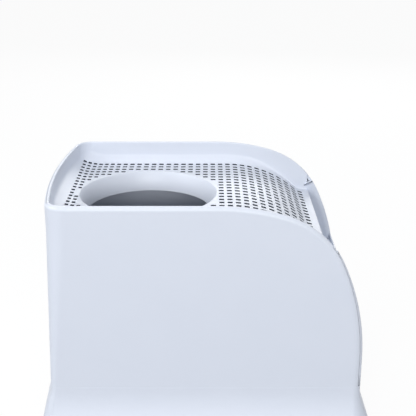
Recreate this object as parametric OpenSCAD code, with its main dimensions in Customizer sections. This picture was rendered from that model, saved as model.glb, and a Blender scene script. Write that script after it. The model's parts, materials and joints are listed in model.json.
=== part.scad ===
// Top entry litter box: flared base, tall hood, hinged perforated deck lid with a round entry, front drawer.
// The front is +X, the plain long side is -Y, and the box stands on Z = 0. All sizes are in millimetres.

/* [Overall] */
// Height of the rim above the ground
rim_h = 410; // [390:1:430]
// Height of the seam between the base and the hood
seam_h = 78; // [70:1:84]
// Length of the hood from the middle of its rear wall to its nose
hood_l = 546; // [536:1:560]
// Width of the hood across its plain long sides
hood_w = 396; // [386:1:414]
// Radius in plan of the two rear corners at the rim
rear_corner_r = 35; // [30:1:45]
// Radius in plan of the two rear corners at the seam
seam_corner_r = 12; // [10:1:20]
// Radius in plan of the two rear corners at the foot
foot_corner_r = 16; // [12:1:24]
// Radius in plan of the two front corners
front_corner_r = 14; // [10:1:18]
// Radius of the outward bow of the rear wall at the rim
bow_r = 1100; // [900:10:1600]
// Radius of the outward bow of the rear wall at the seam
seam_bow_r = 2400; // [1800:50:3200]

/* [Nose] */
// Radius where the rim starts to fall
nose_top_r = 375; // [340:5:395]
// Radius of the shoulder of the nose
nose_mid_r = 162; // [147:1:176]
// Radius of the bulging front
nose_low_r = 430; // [405:5:445]
// Angle at which the shoulder starts
nose_top_turn = 16.9; // [15:0.1:19.5]
// Angle at which the shoulder ends
nose_mid_turn = 65.2; // [61:0.1:68]

/* [Walls] */
// Thickness of the hood and base walls
wall = 3; // [2.5:0.1:3.2]
// Thickness of the lid's upright walls
lid_wall = 2.5; // [2:0.1:3]
// Thickness of the deck
deck_t = 3; // [2.5:0.1:3.4]
// Thickness of the pan
pan_wall = 3; // [2.5:0.1:3.5]

/* [Base] */
// How far the foot of the base stands out beyond the hood
flare = 18; // [12:1:24]
// Height of the upright edge at the foot of the base
foot_edge_h = 6; // [4:1:9]
// Thickness of the base floor
floor_t = 3; // [2.5:0.1:3.5]
// Height of the tongue that locates the hood
tongue_h = 14; // [10:1:20]
// Thickness of the tongue
tongue_t = 2.6; // [2.2:0.1:3]
// Diameter of a rubber foot
foot_d = 24; // [18:1:30]
// Height of a rubber foot
foot_h = 5; // [4:0.5:6]
// Distance of the feet from the ends of the hood
foot_end = 58; // [50:1:70]
// Distance of the feet from the long sides of the hood
foot_side = 45; // [40:1:60]
// Distance of the runners from the long sides of the hood
runner_side = 70; // [60:1:80]
// Width of a runner
runner_w = 16; // [12:1:20]
// Height of a runner above the base floor
runner_h = 7.7; // [6:0.1:9]
// Diameter of the rear drawer bumper
bumper_d = 16; // [12:1:18]

/* [Deck] */
// Depth of the flat deck below the rim
deck_drop = 42; // [38:1:46]
// Distance from the start of the nose to where the deck starts to fall
fall_start = 21.2; // [16:0.1:26]
// Radius of the falling part of the deck
fall_r = 209; // [200:1:215]
// Steepest angle of the deck
fall_turn = 42; // [40:1:43]
// Radius of the hollow where the deck meets the lip
hollow_r = 23; // [18:1:28]
// Length of the level lip
lip_l = 12.5; // [11:0.1:14]
// Depth of the turned down edge of the lip
lip_edge_h = 12; // [9:1:14]
// Radius of the gentle rise of the deck towards its rear wall
rise_r = 90; // [80:1:110]
// Angle at which the rise meets the cove
rise_turn = 24; // [16:1:28]
// Radius of the cove between the rise and the lid's rear wall
cove_r = 10; // [6:1:14]

/* [Entry] */
// Distance from the rear of the hood to the middle of the entry hole
entry_in = 171; // [168:0.1:177]
// Radius of the clear entry hole
entry_r = 114.5; // [104:0.5:115.5]
// Radius of the ring around the entry at deck level
ring_r = 125; // [122:0.5:128]
// Depth of the funnel from the deck to the hole
funnel_h = 37; // [28:1:44]

/* [Slots] */
// Length of a slot along the box
slot_l = 9; // [7.5:0.1:9.6]
// Width of a slot across the box
slot_w = 8; // [6:0.1:9]
// Rows of slots on each side of the middle
side_rows = 11; // [9:1:11]
// Distance from the outermost row of slots to the lid's side wall
row_side = 18.2; // [16:0.1:22]
// Distance between columns of slots ahead of the rear zone
col_pitch = 14.8; // [14.5:0.1:15.1]
// Distance from the frontmost column of slots to the front of the lip
front_col_in = 18.7; // [17.7:0.1:21.7]
// Columns at the full pitch
full_cols = 23; // [20:1:23]
// Columns in the rear zone, where the pitch tightens
rear_cols = 9; // [5:1:9]
// How much the pitch tightens with each rear column
pitch_step = 0.52; // [0.42:0.01:0.56]

/* [Hinge] */
// Distance from the rear of the hood to the lid hinge
hinge_in = 61; // [58:1:68]
// Depth of the hinge line below the rim
hinge_drop = 8; // [7.6:0.1:8.4]
// Diameter of a hinge pin
pin_d = 5; // [4:0.1:5.4]
// Outer diameter of a hinge boss
boss_d = 9.2; // [8.4:0.1:9.4]
// Angle at which the lid meets its stops
lid_open = 100; // [95:1:105]

/* [Drawer] */
// Width of the hood's cheek beside the drawer front
cheek_w = 15; // [14:0.5:25]
// Height of the top edge of the drawer front
front_top = 212; // [206:1:222]
// Height of the underside of the drawer's shelf
shelf_z = 198; // [188:1:200]
// Thickness of the drawer's shelf
shelf_t = 3; // [2.5:0.1:3.5]
// Distance from the front of the pan to the nose
pan_in = 28; // [25:1:38]
// Height of the rim of the pan
pan_top = 150; // [120:1:160]
// Clear inset of the pan's walls from the hood's outline
pan_inset = 22; // [20:0.5:24]
// Width of the pan's rolled rim
pan_rim_w = 5; // [3:0.5:6]
// Diameter of a screw shank
screw_d = 3.8; // [3:0.1:4.4]
// Diameter of a screw head
head_d = 8; // [7:0.1:9]
// Height of a screw head
head_h = 2.5; // [2:0.1:3]

/* [Bridge] */
// Distance from the front face of the bridge to the front of the lip
bridge_in = 8.6; // [7.6:0.1:12]
// Distance of the bridge's screws from its lower and upper edges
bridge_screw_edge = 20; // [14:1:26]
// Thickness of the bridge
bridge_t = 3; // [2.5:0.1:3.5]
// Depth of the flange that carries the lip
bridge_flange = 22; // [18:1:26]

/* [Clearances] */
// Gap around the rim of the lid
rim_gap = 1; // [0.9:0.1:1.3]
// Width of the hidden channel between hood and lid walls
channel = 3; // [2.8:0.1:3.4]
// Gap between the tongue and the hood
tongue_gap = 0.4; // [0.3:0.1:0.8]
// Gap at each side of the drawer front
side_gap = 1; // [0.6:0.1:1.5]
// Running gap of sliding and seated pieces
run_gap = 0.3; // [0.2:0.05:0.5]
// Radial clearance of a hinge pin in its boss
pin_gap = 0.05; // [0.02:0.01:0.1]
// Thickness of a rubber buffer
pad_t = 1.5; // [1:0.1:2]

/* [Hidden] */

$fn = 64;
eps = 0.01;
// How far a cut runs past the face that it opens.
over = 1;

shell_colour = [0.84, 0.86, 0.91];
inner_colour = [0.86, 0.89, 0.93];
pan_colour = [0.30, 0.34, 0.40];
rubber_colour = [0.25, 0.27, 0.30];
metal_colour = [0.72, 0.73, 0.75];
runner_colour = [0.93, 0.93, 0.92];

// Points along an arc; both ends are included.
function arc(c, r, from, to, steps) =
    [for (i = [0 : steps]) let (a = from + (to - from) * i / steps) [c[0] + r * cos(a), c[1] + r * sin(a)]];
function inner_of(points) = [for (i = [1 : len(points) - 2]) points[i]];
function reversed(points) = [for (i = [len(points) - 1 : -1 : 0]) points[i]];

// Plan outline, moved inwards by d: rounded rear corners tangent to the bowed rear wall.
// A shape is the radius of the rear corners and the radius of the bow.
half_l = hood_l / 2;
half_w = hood_w / 2;
rim_shape = [rear_corner_r, bow_r];
seam_shape = [seam_corner_r, seam_bow_r];
foot_shape = [foot_corner_r - flare, seam_bow_r];
function corner_c(shape) = let (y = half_w - shape[0])
    [shape[1] - half_l - sqrt(pow(shape[1] - shape[0], 2) - pow(y, 2)), y];
corner_x = corner_c(rim_shape)[0];
corner_y = corner_c(rim_shape)[1];
front_steps = 5;
corner_steps = 8;
bow_steps = 12;
function front_r(d) = max(front_corner_r - d, 1);
function outline(d, shape) = let (
    c = corner_c(shape),
    r = shape[0] - d,
    turn = asin(c[1] / (shape[1] - shape[0]))) concat(
    arc([half_l - d - front_r(d), half_w - d - front_r(d)], front_r(d), 0, 90, front_steps),
    arc(c, r, 90, 180 - turn, corner_steps),
    inner_of(arc([shape[1] - half_l, 0], shape[1] - d, 180 - turn, 180 + turn, bow_steps)),
    arc([c[0], -c[1]], r, 180 + turn, 270, corner_steps),
    arc([half_l - d - front_r(d), -half_w + d + front_r(d)], front_r(d), 270, 360, front_steps));

module plan(d, low, high, shape = rim_shape) {
    translate([0, 0, low])
        linear_extrude(high - low)
            polygon(outline(d, shape));
}

// Side profile of the hood: a level rim that falls to the nose in three tangent arcs, moved inwards by d.
nose_run = nose_top_r * sin(nose_top_turn)
    + nose_mid_r * (sin(nose_mid_turn) - sin(nose_top_turn))
    + nose_low_r * (1 - sin(nose_mid_turn));
nose_start = half_l - nose_run;
top_c = [nose_start, rim_h - nose_top_r];
mid_c = top_c + (nose_top_r - nose_mid_r) * [sin(nose_top_turn), cos(nose_top_turn)];
low_c = mid_c + (nose_mid_r - nose_low_r) * [sin(nose_mid_turn), cos(nose_mid_turn)];
nose_steps = [6, 10, 8];
function side_profile(d) = concat(
    [[-half_l - over, 0], [half_l - d, 0]],
    arc(low_c, nose_low_r - d, 0, 90 - nose_mid_turn, nose_steps[2]),
    inner_of(arc(mid_c, nose_mid_r - d, 90 - nose_mid_turn, 90 - nose_top_turn, nose_steps[1])),
    arc(top_c, nose_top_r - d, 90 - nose_top_turn, 90, nose_steps[0]),
    [[-half_l - over, rim_h - d]]);

// Extrudes a side view, drawn as X and Z, across the box.
module across(width) {
    translate([0, width / 2, 0])
        rotate([90, 0, 0])
            linear_extrude(width)
                children();
}

module profile_block(d, width) {
    across(width)
        polygon(side_profile(d));
}

module block(x0, x1, y0, y1, z0, z1) {
    translate([x0, y0, z0])
        cube([x1 - x0, y1 - y0, z1 - z0]);
}

module both_sides() {
    children();
    mirror([0, 1, 0])
        children();
}

module rod_x(d, length) {
    rotate([0, 90, 0])
        cylinder(d = d, h = length);
}

module rod_y(d, length) {
    rotate([-90, 0, 0])
        cylinder(d = d, h = length);
}

// Heights and places that follow from the sizes above.
wide = hood_w + 4 * flare;
foot_x = half_l - foot_end;
foot_y = half_w - foot_side;
runner_y = half_w - runner_side;
entry_back = half_l - entry_in;
hinge_back = half_l - hinge_in;
front_w = hood_w - 2 * cheek_w;
pan_front = half_l - pan_in;
foot_recess = 2;
base_low = foot_h - foot_recess;
floor_low = foot_h;
floor_top = floor_low + floor_t;
deck_z = rim_h - deck_drop;
deck_low = deck_z - deck_t;
lid_outer = wall + channel;
lid_inner = lid_outer + lid_wall;
jamb_y = front_w / 2 + side_gap;
hinge_z = rim_h - hinge_drop;
pan_low = floor_top + runner_h + run_gap;
shelf_top = shelf_z + shelf_t;
shelf_gap = 1.5;
bridge_low = shelf_top + shelf_gap;

// The deck in side view: cove, rise, level, falling arc, hollow, level lip.
fall_x = nose_start + fall_start;
fall_end = [fall_x + fall_r * sin(fall_turn), deck_z - fall_r * (1 - cos(fall_turn))];
hollow_end = fall_end + hollow_r * [sin(fall_turn), cos(fall_turn) - 1];
lip_x = hollow_end[0] + lip_l;
lip_z = hollow_end[1];
bridge_x = lip_x - bridge_in;
rear_inner = half_l - lid_inner;
rise_c = [cove_r - rear_inner + (rise_r - cove_r) * sin(rise_turn), deck_z + rise_r];
cove_c = rise_c - (rise_r - cove_r) * [sin(rise_turn), cos(rise_turn)];
deck_steps = [6, 6, 12, 5];
function deck_line(t) = concat(
    arc(cove_c, cove_r + t, 180, 270 - rise_turn, deck_steps[0]),
    inner_of(arc(rise_c, rise_r + t, 270 - rise_turn, 270, deck_steps[1])),
    [rise_c - [0, rise_r + t]],
    arc([fall_x, deck_z - fall_r], fall_r - t, 90, 90 - fall_turn, deck_steps[2]),
    inner_of(arc(hollow_end + [0, hollow_r], hollow_r + t, 270 - fall_turn, 270, deck_steps[3])));
deck_top_line = concat(deck_line(0), [[lip_x, lip_z]]);
deck_low_line = concat(deck_line(deck_t), [
    [lip_x - deck_t, lip_z - deck_t],
    [lip_x - deck_t, lip_z - lip_edge_h],
    [lip_x, lip_z - lip_edge_h]]);

// Places of the slots: full pitch in front, tightening towards the rear wall.
full_xs = [for (i = [0 : full_cols - 1]) lip_x - front_col_in - i * col_pitch];
function rear_x(i) = full_xs[full_cols - 1] - i * col_pitch + pitch_step * i * (i + 1) / 2;
col_xs = concat(full_xs, [for (i = [1 : rear_cols]) rear_x(i)]);
// The rear slots shorten with their pitch.
function slot_len(i) = i < full_cols ? slot_l : slot_l * (col_xs[i - 1] - col_xs[i]) / col_pitch;
row_pitch = (half_w - lid_inner - row_side) / (side_rows - 0.5);
row_ys = [for (j = [0.5 - side_rows : side_rows - 0.5]) j * row_pitch];
slot_margin = 2;
ring_reach = ring_r + slot_margin;
function near_corner(x, y, long) = [
    max(abs(x + entry_back) - long / 2, 0),
    max(abs(y) - slot_w / 2, 0)];
corner_room = rear_corner_r - lid_inner;
function past_corner(x, y, long) =
    let (far = [corner_x - x + long / 2, abs(y) + slot_w / 2 - corner_y])
    far[0] > 0 && far[1] > 0 && norm(far) > corner_room;
rear_limit = slot_l - rear_inner;
function keep_slot(x, y, long) = x - long / 2 > rear_limit
    && norm(near_corner(x, y, long)) > ring_reach
    && !past_corner(x, y, long);

// The hood's form in plan: its rear corners and rear wall open out from the rim down to the seam.
rim_zone = 50;
module hood_form(d, low) {
    hull() {
        plan(d, rim_h - rim_zone, rim_h + over);
        plan(d, low, seam_h + tongue_h + over, seam_shape);
    }
}

// The base's outer form: an upright foot edge and a flare that runs in to the hood's outline.
module flare_block(d, low) {
    hull() {
        plan(d - flare, low, base_low + foot_edge_h, foot_shape);
        plan(d, seam_h - eps, seam_h, seam_shape);
    }
}

module base_plinth() {
    tongue_out = wall + tongue_gap;
    tongue_in = tongue_out + tongue_t;
    shoulder_t = 6;
    color(shell_colour)
        difference() {
            union() {
                difference() {
                    flare_block(0, base_low);
                    flare_block(wall, floor_top);
                    plan(wall, seam_h - 2 * eps, seam_h + over, seam_shape);
                    plan(wall - flare, base_low - over, floor_low, foot_shape);
                }
                difference() {
                    union() {
                        plan(0, seam_h - shoulder_t, seam_h, seam_shape);
                        plan(tongue_out, seam_h - over, seam_h + tongue_h, seam_shape);
                    }
                    plan(tongue_in, seam_h - shoulder_t - over, seam_h + tongue_h + over, seam_shape);
                }
            }
            block(half_l - 2 * wall - over, half_l + 2 * flare, -jamb_y, jamb_y,
                0, seam_h + tongue_h + over);
        }
}

// A low rail that the pan slides on, clipped to the base floor.
module runner(y) {
    runner_setback = 10;
    runner_end = pan_front - runner_setback;
    block(-runner_end, runner_end, y - runner_w / 2, y + runner_w / 2, floor_top, floor_top + runner_h);
}

module left_runner() {
    color(runner_colour)
        runner(runner_y);
}

module right_runner() {
    color(runner_colour)
        runner(-runner_y);
}

module rubber_feet() {
    color(rubber_colour)
        for (x = [-foot_x, foot_x])
            for (y = [-foot_y, foot_y])
                translate([x, y, 0])
                    cylinder(d = foot_d, h = foot_h);
}

// A soft stop on the tongue behind the pan.
module drawer_bumper() {
    bumper_rear = half_l - wall - tongue_gap - tongue_t;
    bumper_front = half_l - pan_inset;
    bumper_lift = 4;
    color(rubber_colour)
        translate([-bumper_rear + run_gap / 2, 0, seam_h + bumper_lift])
            rod_x(bumper_d, bumper_rear - bumper_front - run_gap);
}

// Hood bosses that the bridge is screwed to.
screw_inset = 6;
screw_gap = 0.2;
screw_reach = 10;
hole_d = screw_d + screw_gap;
post_d = 12;
post_l = 15;
post_margin = 8;
bridge_rear = bridge_x - bridge_t;
bridge_top = lip_z - deck_t - pad_t;
bridge_screw_zs = [bridge_low + bridge_screw_edge, bridge_top - bridge_screw_edge];

module hood_post() {
    difference() {
        block(bridge_rear - post_l, bridge_rear, half_w - wall - post_d, half_w - wall + eps,
            bridge_low + post_margin, bridge_top - post_margin);
        for (z = bridge_screw_zs)
            translate([bridge_rear - screw_reach - 2 * over, half_w - wall - screw_inset, z])
                rod_x(hole_d, screw_reach + 3 * over);
    }
}

// A ledge under the flat of the deck, a boss for the hinge pin and a rib that stops the open lid.
ledge_rear = 47;
ledge_front = 5.6;
ledge_x0 = ledge_rear - hinge_back;
ledge_x1 = fall_x - ledge_front;
ledge_w = 13;
ledge_t = 4;
stop_start = 12;
stop_l = 30;
stop_h = 5;
boss_gap = 0.4;
boss_reach = channel - boss_gap;
flange_t = 3;

module hood_side_details() {
    inner_face = half_w - wall;
    block(ledge_x0, ledge_x1, inner_face - ledge_w, inner_face + eps,
        deck_low - pad_t - ledge_t, deck_low - pad_t);
    translate([-hinge_back, inner_face - boss_reach, hinge_z])
        rod_y(boss_d, boss_reach + eps);
    translate([-hinge_back, 0, hinge_z])
        rotate([0, -lid_open, 0])
            block(-stop_start - stop_l, -stop_start, inner_face - boss_reach, inner_face + eps,
                hinge_drop - flange_t - run_gap - stop_h, hinge_drop - flange_t - run_gap);
    hood_post();
}

pin_bite = 1.6;

// The space that the lip sweeps as the lid opens, between the cheeks.
module lid_sweep() {
    sweep_r = norm([lip_x + hinge_back, hinge_z - lip_z + lip_edge_h]) + rim_gap;
    intersection() {
        translate([-hinge_back, -half_w, hinge_z])
            rod_y(2 * sweep_r, hood_w);
        block(lip_x - over, 2 * half_l, -half_w + wall, half_w - wall, lip_z - lip_edge_h, rim_h + over);
    }
}

module body_shell() {
    color(shell_colour)
        difference() {
            union() {
                difference() {
                    intersection() {
                        profile_block(0, wide);
                        hood_form(0, seam_h);
                    }
                    intersection() {
                        profile_block(wall, wide);
                        hood_form(wall, seam_h - over);
                    }
                    intersection() {
                        hood_form(wall, seam_h - over);
                        block(-2 * half_l, lip_x, -hood_w, hood_w, seam_h - over, rim_h + over);
                    }
                    block(0, 2 * half_l, -jamb_y, jamb_y, seam_h - over, rim_h + over);
                    lid_sweep();
                }
                both_sides()
                    hood_side_details();
            }
            both_sides()
                translate([-hinge_back, half_w - wall - channel, hinge_z])
                    rod_y(pin_d + 2 * pin_gap, channel + pin_bite + run_gap);
        }
}

// The fixed wall under the lip, with a flange on top that carries the front of the lid.
module front_bridge() {
    bridge_y = half_w - wall - run_gap;
    color(inner_colour)
        difference() {
            union() {
                block(bridge_rear, bridge_x, -bridge_y, bridge_y, bridge_low, bridge_top);
                block(bridge_x - bridge_flange, bridge_x, -bridge_y + post_d, bridge_y - post_d,
                    bridge_top - bridge_t, bridge_top);
            }
            both_sides()
                for (z = bridge_screw_zs)
                    translate([bridge_rear - over, half_w - wall - screw_inset, z])
                        rod_x(hole_d, bridge_t + 2 * over);
        }
}

module bridge_screws() {
    color(metal_colour)
        both_sides()
            for (z = bridge_screw_zs)
                translate([bridge_rear - screw_reach, half_w - wall - screw_inset, z]) {
                    rod_x(screw_d, screw_reach + bridge_t + eps);
                    translate([screw_reach + bridge_t, 0, 0])
                        rod_x(head_d, head_h);
                }
}

// Rubber pads that the closed lid rests on: four on the hood's ledges, two on the bridge.
pad_d = 10;
side_pad_d = 8;
side_pad_inset = 2;

module lid_buffers() {
    color(rubber_colour)
        both_sides() {
            for (x = [ledge_x0 + pad_d, ledge_x1 - pad_d])
                translate([x, half_w - lid_inner - side_pad_inset, deck_low - pad_t])
                    cylinder(d = side_pad_d, h = pad_t);
            translate([bridge_x - bridge_flange / 2, foot_y, bridge_top])
                cylinder(d = pad_d, h = pad_t);
        }
}

// All slots as one flat pattern.
module slot_pattern() {
    for (i = [0 : len(col_xs) - 1])
        for (y = row_ys)
            if (keep_slot(col_xs[i], y, slot_len(i)))
                translate([col_xs[i] - slot_len(i) / 2, y - slot_w / 2])
                    square([slot_len(i), slot_w]);
}

rebate_h = 1.5;
rebate_w = 6;

module lid_walls() {
    intersection() {
        profile_block(0, wide);
        difference() {
            plan(lid_outer, lip_z - deck_t, rim_h + over);
            plan(lid_inner, lip_z - deck_t - over, rim_h + 2 * over);
        }
        // The walls stop under the deck and in line with the lip.
        across(wide)
            polygon(concat(deck_low_line,
                [[lip_x, rim_h + over], [-half_l, rim_h + over], [-half_l, deck_low]]));
    }
}

// The rolled rim of the lid, which hides the channel and follows the hood's rim.
module lid_rim() {
    intersection() {
        difference() {
            profile_block(0, wide);
            profile_block(flange_t, 2 * wide);
        }
        difference() {
            plan(wall + rim_gap, lip_z, rim_h + over);
            plan(lid_outer + eps, lip_z - over, rim_h + 2 * over);
        }
        block(-2 * half_l, lip_x, -hood_w, hood_w, lip_z, rim_h + over);
    }
}

module deck_lid() {
    color(inner_colour)
        difference() {
            union() {
                intersection() {
                    across(wide)
                        polygon(concat(deck_top_line, reversed(deck_low_line)));
                    plan(lid_outer, 0, rim_h + over);
                }
                lid_walls();
                lid_rim();
            }
            translate([0, 0, lip_z - 3 * deck_t])
                linear_extrude(rim_h)
                    slot_pattern();
            translate([-entry_back, 0, deck_low - over])
                cylinder(r = ring_r - rebate_w, h = deck_t + 2 * over);
            translate([-entry_back, 0, deck_z - rebate_h])
                cylinder(r = ring_r, h = rebate_h + over);
            both_sides()
                translate([-hinge_back, half_w - lid_outer - pin_bite, hinge_z])
                    rod_y(pin_d, pin_bite + over);
        }
}

// The funnel ring around the entry hole, seated flush in the deck's rebate.
module entry_collar() {
    seat_r = ring_r - run_gap;
    neck_r = ring_r - rebate_w - run_gap;
    collar_t = 3;
    brow_w = 4;
    brow_h = 4;
    color(inner_colour)
        translate([-entry_back, 0, 0])
            rotate_extrude($fn = 128)
                polygon([
                    [entry_r, deck_z - funnel_h],
                    [entry_r + collar_t, deck_z - funnel_h],
                    [neck_r, deck_low - brow_h],
                    [neck_r, deck_z - rebate_h],
                    [seat_r, deck_z - rebate_h],
                    [seat_r, deck_z],
                    [neck_r - collar_t + 1 + brow_w, deck_z],
                    [neck_r - collar_t + 1, deck_z - brow_h]]);
}

module hinge_pin() {
    translate([-hinge_back, half_w - lid_outer - pin_bite, hinge_z])
        rod_y(pin_d, 2 * pin_bite + channel);
}

module left_hinge_pin() {
    color(metal_colour)
        hinge_pin();
}

module right_hinge_pin() {
    color(metal_colour)
        mirror([0, 1, 0])
            hinge_pin();
}

// The pull out pan that holds the litter.
low_screw_h = 30;
top_screw_drop = 22;
screw_zs = [pan_low + low_screw_h, pan_top - top_screw_drop];
front_screw_in = 65;
screw_y = front_w / 2 - front_screw_in;

module litter_pan() {
    color(pan_colour)
        difference() {
            intersection() {
                union() {
                    plan(pan_inset, pan_low, pan_top);
                    plan(pan_inset - pan_rim_w, pan_top - pan_wall, pan_top);
                }
                block(-2 * half_l, pan_front, -hood_w, hood_w, 0, rim_h);
            }
            intersection() {
                plan(pan_inset + pan_wall, pan_low + pan_wall, pan_top + over);
                block(-2 * half_l, pan_front - pan_wall, -hood_w, hood_w, 0, rim_h);
            }
            for (y = [-screw_y, screw_y])
                for (z = screw_zs)
                    translate([pan_front - pan_wall - over, y, z])
                        rod_x(hole_d, pan_wall + 2 * over);
        }
}

// The curved front panel, flush with the hood above the seam and with the base below it.
front_lift = 2;
front_low = base_low + front_lift;
shelf_setback = 8;
shelf_back = bridge_x - shelf_setback;
front_boss_l = 34;

module front_form() {
    intersection() {
        union() {
            intersection() {
                profile_block(0, wide);
                plan(0, seam_h - eps, rim_h);
            }
            flare_block(0, base_low - over);
        }
        block(0, 2 * half_l, -front_w / 2, front_w / 2, front_low, front_top);
    }
}

module front_bosses() {
    for (y = [-screw_y, screw_y])
        for (z = screw_zs)
            translate([pan_front, y, z])
                rod_x(post_d, front_boss_l);
}

module drawer_front() {
    color(shell_colour)
        difference() {
            union() {
                difference() {
                    front_form();
                    front_cavity();
                }
                intersection() {
                    front_form();
                    union() {
                        front_bosses();
                        block(shelf_back, half_l, -front_w / 2, front_w / 2, shelf_z, shelf_top);
                    }
                }
            }
            for (y = [-screw_y, screw_y])
                for (z = screw_zs)
                    translate([pan_front - over, y, z])
                        rod_x(hole_d, 2 * screw_reach);
        }
}

// The space behind the front panel.
module front_cavity() {
    intersection() {
        profile_block(wall, wide);
        block(0, half_l - wall, -hood_w, hood_w, seam_h - eps, rim_h);
    }
    flare_block(wall, base_low - 2 * over);
}

module front_screws() {
    color(metal_colour)
        for (y = [-screw_y, screw_y])
            for (z = screw_zs)
                translate([pan_front - pan_wall - head_h, y, z]) {
                    rod_x(head_d, head_h);
                    translate([head_h - eps, 0, 0])
                        rod_x(screw_d, pan_wall + screw_reach);
                }
}

base_plinth();
left_runner();
right_runner();
rubber_feet();
drawer_bumper();
body_shell();
front_bridge();
bridge_screws();
lid_buffers();
deck_lid();
entry_collar();
left_hinge_pin();
right_hinge_pin();
litter_pan();
drawer_front();
front_screws();
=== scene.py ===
"""Looks of the top entry litter box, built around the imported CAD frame.

Lengths are in millimetres up to Skin.build, which turns them into metres; the stage is in metres. Turns are in degrees.
"""

import json
import math

import bpy
import numpy as np
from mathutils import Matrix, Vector, geometry

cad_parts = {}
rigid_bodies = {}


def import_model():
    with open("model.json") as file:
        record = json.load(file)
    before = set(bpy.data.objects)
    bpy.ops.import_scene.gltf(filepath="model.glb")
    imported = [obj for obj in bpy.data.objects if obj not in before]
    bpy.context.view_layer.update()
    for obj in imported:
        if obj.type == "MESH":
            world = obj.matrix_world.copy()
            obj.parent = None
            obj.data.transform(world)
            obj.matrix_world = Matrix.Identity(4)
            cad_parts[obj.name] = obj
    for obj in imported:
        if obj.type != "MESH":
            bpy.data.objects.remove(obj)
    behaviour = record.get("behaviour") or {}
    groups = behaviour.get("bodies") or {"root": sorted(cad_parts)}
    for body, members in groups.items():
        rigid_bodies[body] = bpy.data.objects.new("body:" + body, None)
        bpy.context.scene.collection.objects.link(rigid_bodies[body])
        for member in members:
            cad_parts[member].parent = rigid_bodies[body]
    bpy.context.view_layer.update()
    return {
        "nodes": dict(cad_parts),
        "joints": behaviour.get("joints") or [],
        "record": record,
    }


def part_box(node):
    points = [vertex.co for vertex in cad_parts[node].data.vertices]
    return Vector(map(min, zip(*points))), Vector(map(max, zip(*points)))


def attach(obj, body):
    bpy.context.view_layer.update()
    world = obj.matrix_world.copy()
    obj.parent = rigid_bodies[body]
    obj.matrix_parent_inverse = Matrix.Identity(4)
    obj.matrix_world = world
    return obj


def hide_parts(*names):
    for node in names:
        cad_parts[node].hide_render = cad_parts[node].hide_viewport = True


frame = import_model()

MM = 0.001
JOINTS = {joint["name"]: joint for joint in frame["joints"]}


def box_mm(node):
    """Lowest and highest corner of a CAD node, in millimetres."""
    return [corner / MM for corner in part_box(node)]


# ---- sizes from the frame
hood_low, hood_high = box_mm("body_shell")
base_low, base_high = box_mm("base_plinth")
lid_low, lid_high = box_mm("deck_lid")
ring_low, ring_high = box_mm("entry_collar")
pan_low, pan_high = box_mm("litter_pan")
front_low, front_high = box_mm("drawer_front")
bridge_low, bridge_high = box_mm("front_bridge")

HALF_L, HALF_W, RIM_Z = hood_high
SEAM_Z = hood_low.z
FLARE = base_high.x - HALF_L
LIP_X = lid_high.x
ENTRY_X = (ring_low.x + ring_high.x) / 2
RING_R = (ring_high.x - ring_low.x) / 2
DECK_Z = ring_high.z
FUNNEL_H = ring_high.z - ring_low.z
HINGE_X, HINGE_Z = (JOINTS["lid_hinge"]["pos_m"][k] / MM for k in (0, 2))
JAMB_GAP = 0.4
JAMB_Y = front_high.y + JAMB_GAP

# ---- driving sizes, in millimetres
# rear corners and the bow of the rear wall in plan, at the rim, the seam and the foot
REAR_CORNER_R, BOW_R = 35, 1100
SEAM_CORNER_R, SEAM_BOW_R = 12, 2400
FOOT_CORNER_R = 16
FRONT_CORNER_R = HALF_W - JAMB_Y
# the nose in side view: three tangent arcs, and the turns where they start and end
NOSE_RADII = (375, 162, 430)
NOSE_TURNS = (0, 16.9, 65.2, 90)
WALL = 3
RIM_ROUND = 8
RIM_DEPTH = 2 * WALL
# the lid's wall and the outer edge of its rim, measured in from the hood's outside
LID_OUTER, LID_INNER, LID_EDGE = 6, 8.5, 3.6
DECK_T = 3
# the deck's fall to the lip and its rise to the rear wall
FALL_START, FALL_R, FALL_TURN = 21.2, 209, 42
HOLLOW_R = 23
LIP_EDGE_H = 12
RISE_R, RISE_TURN = 90, 24
COVE_R = 10
ENTRY_R = 114.5
# slots: their size, the rows on each side, and the columns, of which the rear ones draw together
SLOT_L, SLOT_W = 9, 8
SIDE_ROWS, ROW_SIDE = 11, 18.2
COL_PITCH, FRONT_COL_IN = 14.8, 18.7
FULL_COLS, REAR_COLS, PITCH_STEP = 23, 9, 0.52
SLOT_MARGIN = 2
# room for the lid's lip to swing past the nose
SWEEP_GAP, STRIP_GAP = 0.4, 0.5

UP = np.array([0.0, 0.0, 1.0])
ALONG = np.array([1.0, 0.0, 0.0])
CREASE = 50


def sin(turn):
    return math.sin(math.radians(turn))


def cos(turn):
    return math.cos(math.radians(turn))


def facing(turn):
    """The level direction that a turn points in, counted from +X."""
    return np.array([cos(turn), sin(turn), 0])


def unit(v):
    """v at length 1; a vector that has no length stays as it is."""
    v = np.asarray(v, float)
    return v / (np.linalg.norm(v) or 1.0)


def smoothstep(low, high, x):
    t = min(1.0, max(0.0, (x - low) / (high - low)))
    return t * t * (3 - 2 * t)


def steps(start, stop, count):
    """count + 1 evenly spaced values from start to stop."""
    return [start + (stop - start) * i / count for i in range(count + 1)]


def last_turn(low, high, holds):
    """The turn between low and high up to which holds(turn) is true."""
    for _ in range(50):
        middle = (low + high) / 2
        if holds(middle):
            low = middle
        else:
            high = middle
    return (low + high) / 2


def put(name, data):
    """A new object in the scene."""
    made = bpy.data.objects.new(name, data)
    bpy.context.scene.collection.objects.link(made)
    return made


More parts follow.
